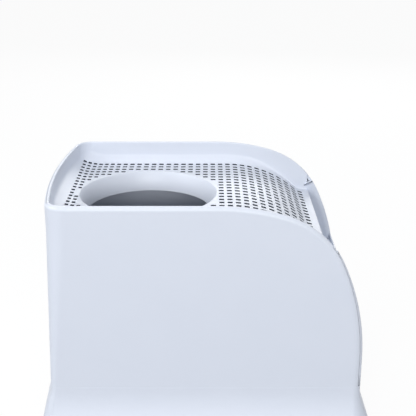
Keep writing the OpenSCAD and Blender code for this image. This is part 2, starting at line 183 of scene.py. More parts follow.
# ---- collecting a mesh
class Skin:
    """Points, faces and the normal at each corner of each face, in millimetres.

    A point's edge value, from 0 to 1, says how much lighter it is painted, for wear and as a painted highlight; a
    negative value marks the walls of slots, which are painted dark as shade.
    """

    def __init__(self):
        self.ids, self.points, self.edge = {}, [], []
        self.faces, self.normals = [], []

    def point(self, p, edge=0.0):
        key = tuple(round(float(c), 3) + 0.0 for c in p)
        if key not in self.ids:
            self.ids[key] = len(self.points)
            self.points.append(key)
            self.edge.append(edge)
        found = self.ids[key]
        self.edge[found] = max(self.edge[found], edge, key=abs)
        return found

    def face(self, points, normals, edges=None):
        """A face through points; normals is one vector, or one for each point, and says which way is out."""
        normals = np.asarray(normals, float)
        if normals.ndim == 1:
            normals = np.tile(normals, (len(points), 1))
        edges = edges or [0.0] * len(points)
        corners = []
        for p, n, e in zip(points, normals, edges):
            i = self.point(p, e)
            if not corners or (corners[-1][0] != i and corners[0][0] != i):
                corners.append((i, n))
        if len(corners) < 3:
            return
        around = np.array([self.points[i] for i, _ in corners])
        shifted = np.roll(around, -1, axis=0)
        area = np.cross(around - around[0], shifted - around[0]).sum(axis=0)
        if np.linalg.norm(area) < 1e-5:
            return
        if area @ np.sum([n for _, n in corners], axis=0) < 0:
            corners.reverse()
            area = -area
        self.faces.append([i for i, _ in corners])
        self.normals.append([unit(n) if np.linalg.norm(n) > 1e-9 else unit(area) for _, n in corners])

    def mirror(self):
        """Adds the far half: the same faces reflected in the plane y = 0."""
        flip = np.array([1, -1, 1])
        for ids, normals in list(zip(self.faces, self.normals)):
            points = [np.array(self.points[i]) * flip for i in ids]
            edges = [self.edge[i] for i in ids]
            self.face(points, [n * flip for n in normals], edges)

    def build(self, name, body, slot, *replaced):
        mesh = bpy.data.meshes.new(name)
        mesh.from_pydata([[c * MM for c in p] for p in self.points], [], self.faces)
        mesh.polygons.foreach_set("use_smooth", [True] * len(self.faces))
        mesh.attributes.new("edge", "FLOAT", "POINT").data.foreach_set("value", self.edge)
        mesh.normals_split_custom_set([tuple(n) for corners in self.normals for n in corners])
        mesh.update()
        mesh.materials.append(MATERIALS[slot])
        piece = put(name, mesh)
        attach(piece, body)
        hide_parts(*replaced)


def chain(points, out, closed=False, limit=CREASE):
    """Section points with the normals before and after each; out is +1 or -1, the side that is out.

    A corner that turns by less than the limit is shaded smooth.
    """
    pts = [np.array(p, float) for p in points]
    ends = pts[1:] + ([pts[0]] if closed else [])
    tangents = [unit(b - a) for a, b in zip(pts, ends)]
    turned = [out * np.array([t[1], -t[0]]) for t in tangents]
    made = []
    for k, p in enumerate(pts):
        before = turned[k - 1] if k or closed else turned[0]
        after = turned[k] if k < len(turned) else turned[-1]
        if before @ after > cos(limit):
            before = after = unit(before + after)
        made.append((p, before, after))
    if closed:
        made.append(made[0])
    return made


def lay(section, place, across, along, edge=None):
    """A chain as points in space: place(d, a) is a point's place, across and along are the section's axes."""
    made = []
    for (d, a), before, after in section:
        turned = [across * n[0] + along * n[1] for n in (before, after)]
        made.append((place(d, a), *turned, edge(d, a) if edge else 0.0))
    return made


def sweep(skin, stations):
    """Joins neighbouring stations, lists of (point, normal before, normal after, edge), with quads."""
    for a, b in zip(stations, stations[1:]):
        for (p0, _, n0, e0), (p1, n1, _, e1), (q0, _, m0, f0), (q1, m1, _, f1) in zip(a, a[1:], b, b[1:]):
            skin.face([p0, p1, q1, q0], [n0, n1, m1, m0], [e0, e1, f1, f0])


def fillet(corner, before, after, radius, count=5):
    """Points of the arc that rounds a corner between the points before and after it."""
    c, a, b = (np.array(v, float) for v in (corner, before, after))
    u, v = unit(a - c), unit(b - c)
    half = math.acos(max(-1.0, min(1.0, float(u @ v)))) / 2
    reach = radius / math.tan(half)
    centre = c + unit(u + v) * radius / math.sin(half)
    start, stop = c + u * reach - centre, c + v * reach - centre
    total = math.pi - 2 * half
    made = []
    for i in range(count + 1):
        t = total * i / count
        made.append(centre + (start * math.sin(total - t) + stop * math.sin(t)) / math.sin(total))
    return made


def rounded(points, radii, closed=True):
    """A polygon's points with each corner rounded by its radius, where that isn't 0."""
    made = []
    last = len(points)
    for k, (p, r) in enumerate(zip(points, radii)):
        if r and (closed or 0 < k < last - 1):
            made += fillet(p, points[k - 1], points[(k + 1) % last], r)
        else:
            made.append(np.array(p, float))
    return made


# ---- the hood's outline in plan and in side view
class Shape:
    """The rear of a plan outline: rounded corners tangent to a bowed wall."""

    def __init__(self, corner_r, bow_r):
        self.corner_r, self.bow_r = corner_r, bow_r
        self.corner_y, self.bow_x = HALF_W - corner_r, bow_r - HALF_L
        self.corner_x = self.bow_x - math.sqrt((bow_r - corner_r) ** 2 - self.corner_y**2)
        self.bow_turn = math.degrees(math.asin(self.corner_y / (bow_r - corner_r)))

    def at(self, turn):
        """The point that faces turn degrees, from 270 at the near side to 180 at the middle of the rear."""
        out = facing(turn)
        if turn > 180 + self.bow_turn:
            return np.array([self.corner_x, -self.corner_y, 0]) + self.corner_r * out
        return np.array([self.bow_x, 0, 0]) + self.bow_r * out


RIM_SHAPE = Shape(REAR_CORNER_R, BOW_R)
SEAM_SHAPE = Shape(SEAM_CORNER_R, SEAM_BOW_R)
FOOT_SHAPE = Shape(FOOT_CORNER_R - FLARE, SEAM_BOW_R)
CORNER_X, CORNER_Y = RIM_SHAPE.corner_x, RIM_SHAPE.corner_y
REAR_TURNS = steps(270, 180 + RIM_SHAPE.bow_turn, 14) + steps(180 + RIM_SHAPE.bow_turn, 180, 10)[1:]


def rear_stations():
    """Points of the rim's outline and inward directions, from the near rear corner to the middle of the rear."""
    return [(RIM_SHAPE.at(turn), -facing(turn)) for turn in REAR_TURNS]


def outline_x(y, inset):
    """The rim outline's x at the rear for a given y, moved inwards by inset."""
    past = abs(y) - CORNER_Y * (BOW_R - inset) / (BOW_R - REAR_CORNER_R)
    if past <= 0:
        return RIM_SHAPE.bow_x - math.sqrt((BOW_R - inset) ** 2 - y**2)
    return CORNER_X - math.sqrt(max((REAR_CORNER_R - inset) ** 2 - (abs(y) - CORNER_Y) ** 2, 0))


NOSE_START = HALF_L - sum(
    radius * (sin(stop) - sin(start)) for radius, start, stop in zip(NOSE_RADII, NOSE_TURNS, NOSE_TURNS[1:])
)


def nose_centres():
    """Centres of the three tangent arcs of the nose, in side view."""
    centres = [np.array([NOSE_START, RIM_Z - NOSE_RADII[0]])]
    for k in (1, 2):
        step = NOSE_RADII[k - 1] - NOSE_RADII[k]
        centres.append(centres[-1] + step * np.array([sin(NOSE_TURNS[k]), cos(NOSE_TURNS[k])]))
    return centres


NOSE_CENTRES = nose_centres()


def nose_at(turn, inset=0):
    """The side profile where it has turned down by turn degrees, moved inwards."""
    k = 0 if turn <= NOSE_TURNS[1] else 1 if turn <= NOSE_TURNS[2] else 2
    return NOSE_CENTRES[k] + (NOSE_RADII[k] - inset) * np.array([sin(turn), cos(turn)])


def nose_turn(x, inset=0):
    """The turn at which the inset profile reaches x."""
    return last_turn(0.0, 90.0, lambda turn: nose_at(turn, inset)[0] < x)


ROUND_GROWS = (58, 90)


def edge_round(turn):
    """Radius of the rounded edge between the long side and the rim or nose."""
    return RIM_ROUND + (FRONT_CORNER_R - RIM_ROUND) * smoothstep(*ROUND_GROWS, turn)


def arc_drop(d, radius):
    """How far the rounded edge lies below the profile at a distance d inside the long side."""
    return radius - math.sqrt(radius**2 - (radius - d) ** 2) if d < radius else 0.0


class Station:
    """A place on the rim: its point, the way into the box and the way down."""

    def __init__(self, origin, inward, down, radius, turn=0.0):
        self.origin, self.inward, self.down = (np.array(v, float) for v in (origin, inward, down))
        self.radius, self.turn = radius, turn

    def at(self, d, a):
        return self.origin + self.inward * d + self.down * a

    def lay(self, section, edge=None):
        """A chain of places (inwards, down) as points in space."""
        return lay(section, self.at, self.inward, self.down, edge)


def nose_station(turn):
    x, z = nose_at(turn)
    return Station((x, -HALF_W, z), (0, 1, 0), (-sin(turn), 0, -cos(turn)), edge_round(turn), turn)


def rim_station(q, inward):
    return Station((q[0], q[1], RIM_Z), inward, -UP, RIM_ROUND)


EDGE_REACH = 9


def rim_edge(d, a):
    """How much of an edge a point of the rim is: it is painted lighter there, for wear and as a painted highlight."""
    return max(0.0, 1 - max(d, 0) / EDGE_REACH) * max(0.0, 1 - a / EDGE_REACH)


# ---- hood
def sweep_turn():
    """Where the nose meets the cylinder that the lid's lip sweeps."""
    reach = math.hypot(LIP_X - HINGE_X, HINGE_Z - lid_low.z) + SWEEP_GAP
    return last_turn(30.0, 80.0, lambda turn: math.dist(nose_at(turn), (HINGE_X, HINGE_Z)) < reach)


def rim_arc(radius, stop, count):
    """The rounded edge, from WALL inside the long side to where it has turned to stop; 90 is the side itself."""
    first = math.degrees(math.asin(max(0.0, (radius - WALL) / radius)))
    return [(radius - radius * sin(t), radius - radius * cos(t)) for t in steps(first, stop, count)]


def hood_outer(station):
    """The rim's part that belongs to the hood, from the lid's gap to the long side."""
    r = station.radius
    made = []
    for d, a in rim_arc(r, 90, 8):
        out = -(station.inward * (r - d) + station.down * (r - a)) / r
        made.append((station.at(d, a), out, out, rim_edge(d, a)))
    return made


JAMB_DEPTH, JAMB_SOFT = 8, 0.7
FLANGE_ROOT = 30


def flange_section(radius):
    """The cheek's return flange: rounded edge, jamb and the slope back to the inner face."""
    depth, soft = FRONT_CORNER_R, JAMB_SOFT
    top = rim_arc(radius, 0, 6)
    middle = (radius + depth) / 2 if depth - radius > soft else depth - soft
    jamb = [(depth - soft, 0.0), (depth - 0.3 * soft, 0.3 * soft), (depth, soft), (depth, JAMB_DEPTH)]
    if depth - radius < soft:
        top[-1] = (depth - soft, 0.0)
        jamb = jamb[1:]
    slope = [(depth - 0.6, JAMB_DEPTH + 1), (WALL + 0.6, FLANGE_ROOT - 1), (WALL, FLANGE_ROOT)]
    return top + [(middle, 0.0)] + jamb + slope


# heights between which the rear wall's outline changes from the rim's to the seam's
BLEND_TOP, BLEND_LOW = RIM_Z - 50, SEAM_Z + 15
BLEND_SOFT = 12
STRIP_D = 5.4


def hood_rear(turn, d, z):
    """A point d inside the rear wall or corner, which opens out towards the seam, and the way out there."""
    depth = BLEND_TOP - BLEND_LOW
    share = min(1.0, max(0.0, (BLEND_TOP - z) / depth))
    top, low, out = RIM_SHAPE.at(turn), SEAM_SHAPE.at(turn), facing(turn)
    lean = (low - top) @ out / depth
    lean *= smoothstep(BLEND_TOP + BLEND_SOFT, BLEND_TOP - BLEND_SOFT, z)
    lean *= smoothstep(SEAM_Z, BLEND_LOW + BLEND_SOFT, z)
    return top * (1 - share) + low * share - d * out + UP * z, unit(out + UP * lean)


def strip(skin, turns):
    """Widens the hood's rim between the closed lid and the flange, up to the lid's path."""
    stations = []
    for turn in turns:
        station = nose_station(turn)
        section = [(d, arc_drop(d, station.radius)) for d in (WALL, 4, 4.8)]
        section.append((STRIP_D - 0.1, arc_drop(STRIP_D, station.radius)))
        section += [(STRIP_D, 0.6), (STRIP_D, RIM_DEPTH), (WALL, RIM_DEPTH)]
        stations.append(station.lay(chain(section, -1), rim_edge))
    sweep(skin, stations)
    skin.face([p for p, *_ in stations[-1]], -np.cross(station.inward, station.down))


def hood_half(skin):
    """The hood's near half: flange, rim, long side, rear wall and underside."""
    lip_turn, lid_turn = sweep_turn(), nose_turn(LIP_X + STRIP_GAP)
    fronts = steps(90, NOSE_TURNS[2], 13) + steps(NOSE_TURNS[2], lip_turn, 4)[1:]
    gaps = steps(lip_turn, lid_turn, 4)
    rears = gaps + steps(lid_turn, NOSE_TURNS[1], 14)[1:] + steps(NOSE_TURNS[1], 0, 8)[1:]
    foot = nose_station(90)
    foot.origin[2] = SEAM_Z
    flange = [foot] + [nose_station(t) for t in fronts]
    rim = [nose_station(t) for t in rears] + [rim_station(q, n) for q, n in rear_stations()]
    sweep(skin, [hood_outer(s) for s in flange])
    sweep(skin, [hood_outer(s) for s in rim])
    sweep(skin, [s.lay(chain(flange_section(s.radius), -1), rim_edge) for s in flange])
    # the flange's rear end
    end = flange[-1]
    skin.face([end.at(d, a) for d, a in flange_section(end.radius)], np.cross(end.inward, end.down))
    # long side, outer and inner faces
    sides = [s for s in rim if s.inward[1] > 1 - 1e-9]
    levels = (BLEND_TOP, BLEND_LOW, SEAM_Z)
    outer = [s.at(0, s.radius) for s in flange + sides]
    skin.face(outer + [hood_rear(270, 0, z)[0] for z in levels], (0, -1, 0))
    inner = [s.at(WALL, FLANGE_ROOT) for s in flange] + [s.at(WALL, RIM_DEPTH) for s in sides]
    inner[0][2] = SEAM_Z
    skin.face(inner + [hood_rear(270, WALL, z)[0] for z in levels], (0, 1, 0))
    # the rim's inner face, beside the lid
    for a, b in zip(rim, rim[1:]):
        if b.turn < lid_turn - 1e-6:
            points = [s.at(WALL, arc_drop(WALL, s.radius)) for s in (a, b)]
            points += [s.at(WALL, RIM_DEPTH) for s in (b, a)]
            skin.face(points, [a.inward, b.inward, b.inward, a.inward])
    strip(skin, gaps)
    # rear wall and corner
    for d, top, way in ((0, RIM_ROUND, 1), (WALL, RIM_DEPTH, -1)):
        zs = [RIM_Z - top, BLEND_TOP + BLEND_SOFT, BLEND_TOP, BLEND_TOP - BLEND_SOFT]
        zs += [BLEND_LOW + BLEND_SOFT, BLEND_LOW, SEAM_Z]
        placed = [[hood_rear(turn, d, z) for z in zs] for turn in REAR_TURNS]
        sweep(skin, [[(p, way * n, way * n, 0.0) for p, n in row] for row in placed])
    for a, b in zip(REAR_TURNS, REAR_TURNS[1:]):
        skin.face([hood_rear(t, d, SEAM_Z)[0] for t, d in ((a, 0), (b, 0), (b, WALL), (a, WALL))], -UP)
    # underside of the long side and of the flange
    inner_foot = foot.at(WALL, FLANGE_ROOT)
    corner = [hood_rear(270, d, SEAM_Z)[0] for d in (0, WALL)]
    skin.face([corner[0], foot.at(0, foot.radius), inner_foot, corner[1]], -UP)
    under = [foot.at(d, a) for d, a in flange_section(foot.radius)[::-1]]
    skin.face([p for p, *_ in hood_outer(foot)] + [inner_foot] + under[1:], -UP)


def chamfered_block(skin, low, high, edge=0.8, turned=None):
    """A block with softened edges; turned maps its points and directions."""
    place = turned or (lambda v, is_point: v)
    axes = np.eye(3)

    def beside(signs, axis):
        """The point beside a corner that lies in the face across an axis."""
        tip = np.where(signs > 0, high, low)
        return place(tip - signs * edge * (1 - axes[axis]), True)

    for axis in range(3):
        u, v = axes[(axis + 1) % 3], axes[(axis + 2) % 3]
        for side in (-1, 1):
            out = side * axes[axis]
            around = [out + su * u + sv * v for su, sv in ((-1, -1), (1, -1), (1, 1), (-1, 1))]
            skin.face([beside(signs, axis) for signs in around], place(out, False))
            # the chamfers along this face's u edges
            for a, b in (around[1:3], around[::3]):
                way = (a @ u) * u
                points = [beside(a, axis), beside(b, axis), beside(b, (axis + 1) % 3), beside(a, (axis + 1) % 3)]
                skin.face(points, [place(n, False) for n in (out, out, way, way)])
            for signs in around if axis == 0 else ():
                skin.face([beside(signs, k) for k in range(3)], place(signs, False))


def rod(skin, start, axis, radius, length, soft=0.5, count=24):
    """A round bar with softened ends."""
    axis = unit(axis)
    side = unit(np.cross(axis, UP if abs(axis[2]) < 0.9 else ALONG))
    other = np.cross(axis, side)
    stations = []
    for t in steps(0, 360, count):
        out = side * cos(t) + other * sin(t)
        rings = [(0, radius - soft, -axis), (soft, radius, out)]
        rings += [(length - soft, radius, out), (length, radius - soft, axis)]
        stations.append([(np.array(start) + axis * h + out * r, way, way, 1) for h, r, way in rings])
    sweep(skin, stations)
    for k, way in ((0, -1), (3, 1)):
        skin.face([s[k][0] for s in stations[:-1]], way * axis)


INNER_Y = HALF_W - WALL
LEDGE_X, LEDGE_W, LEDGE_T = (-165, 40), 13, 4
BUFFER_T = 1.5
STOP_START, STOP_L, STOP_H = 12, 30, 5
BOSS_R, BOSS_REACH = 4.6, 2.6
POST_X, POST_L, POST_D, POST_MARGIN = 19, 15, 12, 8
SINK = 0.3


def hood_details(skin):
    """Ledge, hinge boss, stop rib and bridge post on the near inner face, each sunk into it a little."""
    root = -INNER_Y - SINK
    ledge_top = DECK_Z - DECK_T - BUFFER_T
    chamfered_block(skin, (LEDGE_X[0], root, ledge_top - LEDGE_T), (LEDGE_X[1], LEDGE_W - INNER_Y, ledge_top))
    rod(skin, (HINGE_X, root, HINGE_Z), (0, 1, 0), BOSS_R, BOSS_REACH + SINK)
    opening = JOINTS["lid_hinge"]["range_deg"][1]

    def turned(v, is_point):
        """What lies along the closed lid's rim, turned about the hinge to where the open lid meets it."""
        x, z = v[0] * cos(opening) - v[2] * sin(opening), v[0] * sin(opening) + v[2] * cos(opening)
        return np.array([x, v[1], z]) + (np.array([HINGE_X, 0, HINGE_Z]) if is_point else 0)

    stop_top = RIM_Z - HINGE_Z - WALL - SINK
    low = (-STOP_START - STOP_L, root, stop_top - STOP_H)
    chamfered_block(skin, low, (-STOP_START, BOSS_REACH - INNER_Y, stop_top), 0.5, turned)
    post = bridge_low.x + POST_X
    low = (post - POST_L, root, bridge_low.z + POST_MARGIN)
    chamfered_block(skin, low, (post, POST_D - INNER_Y, bridge_high.z - POST_MARGIN))


def make_hood():
    skin = Skin()
    hood_half(skin)
    hood_details(skin)
    skin.mirror()
    skin.build("hood_shell", "hood", "shell", "body_shell")


# ---- base
TONGUE_OUT, TONGUE_T = 3.4, 2.6
SHOULDER_T = 6
FOOT_Z = base_low.z + 6
FLOOR_Z = (5, 8)
FLOOR_EDGE = 7
# the flare: heights of its points, and for each end where it starts and how sharply it bends
FLARE_LEVELS = (74, 66, 58, 50, 42, 34, 26, 18)
FLARE_FRONT, FLARE_REAR = (68, 1.8), (68, 1.4)


def flare_at(z, out_x):
    """How far the base stands out at a height: late in a hollow bend at the front and sides, early at the rear."""
    front, rear = (max(0.0, (top - z) / (top - FOOT_Z)) for top, _ in (FLARE_FRONT, FLARE_REAR))
    late, early = front ** FLARE_FRONT[1], 1 - (1 - rear) ** FLARE_REAR[1]
    return FLARE * (early + (late - early) * min(1.0, 1 + out_x))


def base_section(out_x):
    """The base's wall in section, from the tongue down to the floor and back up inside."""
    low, edge, shoulder = base_low.z, WALL - FLARE, SEAM_Z - SHOULDER_T
    tongue_in = TONGUE_OUT + TONGUE_T
    outer = [(-flare_at(z, out_x), z) for z in FLARE_LEVELS]
    inner = [(WALL - flare_at(z, out_x), z) for z in FLARE_LEVELS[::-1]]
    points = [(tongue_in, base_high.z), (TONGUE_OUT, base_high.z), (TONGUE_OUT, SEAM_Z), (0, SEAM_Z), *outer]
    points += [(-FLARE, FOOT_Z), (-FLARE, low), (edge, low), (edge, FLOOR_Z[0]), (FLOOR_EDGE, FLOOR_Z[0])]
    points += [(FLOOR_EDGE, FLOOR_Z[1]), (edge, FLOOR_Z[1]), *inner, (WALL, shoulder), (tongue_in, shoulder)]
    flat = [0] * len(FLARE_LEVELS)
    return rounded(points, [0.8, 0.8, 0, 0.3, *flat, 3, 1.2, 0.6, 0, 0, 0, 2, *flat, 0, 0.6])


def make_base():
    turns = [(t, True) for t in steps(360, 270, 10)] + [(t, False) for t in REAR_TURNS]

    def outline_at(turn, front, z):
        if front:
            return np.array([HALF_L - FRONT_CORNER_R, -JAMB_Y, 0]) + FRONT_CORNER_R * facing(turn)
        share = min(1.0, max(0.0, (SEAM_Z - z) / (SEAM_Z - FOOT_Z)))
        return SEAM_SHAPE.at(turn) * (1 - share) + FOOT_SHAPE.at(turn) * share

    def worn(d, z):
        return 0.5 if -FLARE <= d < 2 - FLARE and z < FOOT_Z + 3 else 0.0

    skin = Skin()
    stations = []
    for turn, front in turns:
        n = -facing(turn)
        section = chain(base_section(-n[0]), 1, closed=True)
        stations.append(lay(section, lambda d, z: outline_at(turn, front, z) + n * d + UP * z, n, UP, worn))
    sweep(skin, stations)
    skin.face([p for p, *_ in stations[0][:-1]], (0, 1, 0))
    edge = HALF_L - FLOOR_EDGE
    for z, way in zip(FLOOR_Z, (-1, 1)):
        ring = [outline_at(turn, front, z) - facing(turn) * FLOOR_EDGE + UP * z for turn, front in turns]
        skin.face(ring + [(edge, 0, z)], (0, 0, way))
    low, high = FLOOR_Z
    skin.face([(edge, -JAMB_Y, low), (edge, 0, low), (edge, 0, high), (edge, -JAMB_Y, high)], ALONG)
    skin.mirror()
    skin.build("base_shell", "base", "shell", "base_plinth")


# ---- lid: the deck's height
FALL_X = NOSE_START + FALL_START
FALL_END = np.array([FALL_X + FALL_R * sin(FALL_TURN), DECK_Z - FALL_R * (1 - cos(FALL_TURN))])
HOLLOW_END = FALL_END + HOLLOW_R * np.array([sin(FALL_TURN), cos(FALL_TURN) - 1])
LIP_Z = HOLLOW_END[1]
LIP_SOFT = 2.5
LIP_START = LIP_X - LIP_SOFT
REAR_FILLET, SIDE_FILLET = 6.0, 4.0
SHEET_HALF = HALF_W - LID_INNER - SIDE_FILLET
SIDE_COVE_R = 19
COVE_FADE = (90, 190)
RISE_X = COVE_R + (RISE_R - COVE_R) * sin(RISE_TURN)


def deck_line(x):
    """Height of the deck along its middle: level, falling, hollow and level again at the lip."""
    if x <= FALL_X:
        return DECK_Z
    if x <= FALL_END[0]:
        return DECK_Z - FALL_R + math.sqrt(FALL_R**2 - (x - FALL_X) ** 2)
    if x <= HOLLOW_END[0]:
        return LIP_Z + HOLLOW_R - math.sqrt(HOLLOW_R**2 - (HOLLOW_END[0] - x) ** 2)
    return LIP_Z


def deck_at(x, y):
    """Height of the deck with its rise towards the rear wall, which follows the corners, and its side coves."""
    height = deck_line(x)
    run = RISE_X - (x - outline_x(y, LID_INNER))
    if run > 0:
        height += RISE_R - math.sqrt(RISE_R**2 - min(run, 0.6 * RISE_R) ** 2)
    run = abs(y) - (HALF_W - LID_INNER - SIDE_COVE_R)
    if run > 0:
        rise = SIDE_COVE_R - math.sqrt(SIDE_COVE_R**2 - min(run, 0.97 * SIDE_COVE_R) ** 2)
        height += rise * (1 - smoothstep(*COVE_FADE, x))
    return height


def deck_slope(x, y, h=0.01):
    """Slope of the deck along x and y."""
    along = (deck_at(x + h, y) - deck_at(x - h, y)) / (2 * h)
    return along, (deck_at(x, y + h) - deck_at(x, y - h)) / (2 * h)


def deck_normal(x, y):
    return unit((*(-slope for slope in deck_slope(x, y)), 1))


def deck_under(x, y):
    """Height of the deck's underside."""
    return deck_at(x, y) - DECK_T / deck_normal(x, y)[2]


# ---- lid: slots
ROW_PITCH = (HALF_W - LID_INNER - ROW_SIDE) / (SIDE_ROWS - 0.5)
ROW_YS = [(j + 0.5) * ROW_PITCH for j in range(-SIDE_ROWS, SIDE_ROWS)]
SLOT_CORNER_R, SLOT_SOFT = 1.2, 0.45
RING_SOFT = 0.4
# edge value that marks the slot walls, which are painted dark as shade
PAINTED_SLOT_SHADE = -1.0


def slot_columns():
    """Middle and length of each column of slots, from the lip to the rear."""
    made = [(LIP_X - FRONT_COL_IN - i * COL_PITCH, SLOT_L) for i in range(FULL_COLS)]
    for i in range(1, REAR_COLS + 1):
        pitch = COL_PITCH - i * PITCH_STEP
        made.append((made[-1][0] - pitch, SLOT_L * pitch / COL_PITCH))
    return made


def keep_slot(x, y, length):
    """Whether a slot stays clear of the ring and of the rounded rear corners."""
    near = math.hypot(max(abs(x - ENTRY_X) - length / 2, 0), max(abs(y) - SLOT_W / 2, 0))
    past = (CORNER_X - x + length / 2, abs(y) + SLOT_W / 2 - CORNER_Y)
    room = REAR_CORNER_R - LID_INNER
    return near > RING_R + SLOT_MARGIN and not (min(past) > 0 and math.hypot(*past) > room)


def slot_loop(slot, grow):
    """A slot's rounded outline, grown by a margin."""
    x, y, length = slot
    radius = SLOT_CORNER_R + grow
    half_l, half_w = length / 2 + grow - radius, SLOT_W / 2 + grow - radius
    points = []
    for start, cx, cy in ((0, 1, 1), (90, -1, 1), (180, -1, -1), (270, 1, -1)):
        for turn in steps(start, start + 90, 3):
            points.append((x + cx * half_l + radius * cos(turn), y + cy * half_w + radius * sin(turn)))
    return points


def circle(radius):
    return [(ENTRY_X + radius * cos(t), radius * sin(t)) for t in steps(0, 360, 120)[:-1]]


SLOTS = [(x, y, length) for x, length in slot_columns() for y in ROW_YS if keep_slot(x, y, length)]
SLOT_ROWS = {}
for slot_x, slot_y, slot_length in SLOTS:
    SLOT_ROWS.setdefault(round(slot_y, 3), []).append((slot_x, slot_length))


def deck_edge():
    """Near edge of the perforated sheet with the inward direction and fillet width, from the lip to the rear middle."""
    xs = steps(LIP_START, CORNER_X, 62)[:-1] + [CORNER_X]
    made = [(np.array([x, -HALF_W, 0]), np.array([0, 1.0, 0]), SIDE_FILLET) for x in xs]
    for q, n in rear_stations()[1:]:
        width = SIDE_FILLET + (REAR_FILLET - SIDE_FILLET) * smoothstep(0.8, 1.0, n[0])
        made.append((q, n, width))
    return made


RIB_XS = steps(-246, 44, 30) + steps(52, 180, 20) + steps(184, 209, 8)


def rib_points():
    """Extra points between the rows of slots, so that the sheet follows its curves."""
    ys = [j * ROW_PITCH for j in range(-SIDE_ROWS, SIDE_ROWS + 1)]
    ys += [way * (SHEET_HALF - far) for way in (-1, 1) for far in (1.5, 6)]
    made = []
    for x in RIB_XS:
        for y in ys:
            clear_ring = math.hypot(x - ENTRY_X, y) > RING_R + 3
            if clear_ring and x > outline_x(y, LID_INNER + REAR_FILLET) + 2 and abs(y) < SHEET_HALF - 1:
                made.append((x, y))
    return made


def sheet_triangles():
    """Points and triangles of the perforated sheet in plan: outer edge, ring hole, slots and helper points."""
    near = [(q + n * (LID_INNER + w))[:2] for q, n, w in deck_edge()]
    outer = [tuple(p) for p in near] + [(p[0], -p[1]) for p in near[-2::-1]]
    outer += [(LIP_START, y) for y in steps(-outer[0][1], outer[0][1], 24)[1:-1]]
    points, edges = [], []
    for loop in [outer, circle(RING_R + RING_SOFT)] + [slot_loop(slot, SLOT_SOFT) for slot in SLOTS]:
        first = len(points)
        points += loop
        edges += [(first + i, first + (i + 1) % len(loop)) for i in range(len(loop))]
    points += rib_points()
    found = geometry.delaunay_2d_cdt([Vector(p) for p in points], edges, [], 0, 1e-4)
    placed = [points[ids[0]] if ids else tuple(p) for p, ids in zip(found[0], found[3])]
    return placed, found[2]


def in_sheet(corners):
    """Whether a triangle lies within the sheet's edge and outside the ring and the slots."""
    x, y = np.mean(corners, axis=0)
    if math.hypot(x - ENTRY_X, y) < RING_R + RING_SOFT:
        return False
    if abs(y) >= SHEET_HALF or not outline_x(y, LID_INNER + SIDE_FILLET) < x < LIP_START:
        return False
    row = (math.floor(y / ROW_PITCH) + 0.5) * ROW_PITCH
    if abs(y - row) > SLOT_W / 2 + SLOT_SOFT:
        return True
    return not any(abs(x - sx) < length / 2 + SLOT_SOFT for sx, length in SLOT_ROWS.get(round(row, 3), ()))


RING_AXIS = np.array([ENTRY_X, 0, 0])


def deck_sheet(skin):
    """The perforated sheet, the walls of its slots and the wall of its hole for the ring."""
    points, triangles = sheet_triangles()
    loops = [(slot_loop(slot, SLOT_SOFT), slot_loop(slot, 0)) for slot in SLOTS]
    lower = {a: b for outer, inner in loops for a, b in zip(outer, inner)}
    lower.update(zip(circle(RING_R + RING_SOFT), circle(RING_R)))
    tops = [(x, y, deck_at(x, y)) for x, y in points]
    unders = [(x, y, deck_under(x, y)) for x, y in (lower.get(p, p) for p in points)]
    normals = [deck_normal(x, y) for x, y in points]
    for triangle in triangles:
        if in_sheet([points[i] for i in triangle]):
            skin.face([tops[i] for i in triangle], [normals[i] for i in triangle])
            skin.face([unders[i] for i in triangle], [-normals[i] for i in triangle])
    for outer, inner in loops:
        stations = []
        for (ax, ay), (bx, by) in zip(outer, inner):
            out, top = unit((bx - ax, by - ay, 0)), deck_normal(ax, ay)
            rise, under = deck_at(bx, by), deck_under(bx, by)
            # each slot's rounded top is painted lighter, for wear and as a highlight, and its wall below is painted
            # dark as shade
            levels = ((rise - SLOT_SOFT, 0.6), (rise - 1.4 * SLOT_SOFT, PAINTED_SLOT_SHADE), (under + 0.3, PAINTED_SLOT_SHADE), (under, 0.0))
            wall = [((bx, by, z), out, out, edge) for z, edge in levels]
            stations.append([((ax, ay, deck_at(ax, ay)), top, top, 0.2), *wall])
        sweep(skin, stations + stations[:1])
    stations = []
    for turn in steps(0, 360, 120):
        out = facing(turn)
        rim, wall = RING_AXIS + out * (RING_R + RING_SOFT), RING_AXIS + out * RING_R
        lower = [(wall + UP * (DECK_Z - RING_SOFT), -out, -out, 0.3)]
        lower.append((wall + UP * deck_under(*wall[:2]), -out, -out, 0.0))
        stations.append([(rim + UP * deck_at(*rim[:2]), UP, UP, 0.3), *lower])
    sweep(skin, stations)


# ---- lid: walls, rim and lip
RIM_INNER_SOFT = 2.6


def fillet_curve(q, n, width):
    """The blend from the sheet's edge up to the upright wall."""
    low = q + n * (LID_INNER + width)
    z = deck_at(low[0], low[1])
    along, across = deck_slope(low[0], low[1])
    rise = max(0.0, -(along * n[0] + across * n[1]))
    wall = q + n * LID_INNER
    knee = z + rise * width
    start, middle, stop = np.array([width, z]), np.array([0.0, knee]), np.array([0.0, knee + width])
    made = []
    for t in steps(0, 1, 6):
        p = start * (1 - t) ** 2 + middle * 2 * t * (1 - t) + stop * t * t
        tangent = unit((middle - start) * (1 - t) + (stop - middle) * t)
        normal = n * abs(tangent[1]) + UP * abs(tangent[0]) if t else deck_normal(low[0], low[1])
        made.append((wall + n * p[0] + UP * (p[1] - wall[2]), normal, normal, 0.0))
    return made


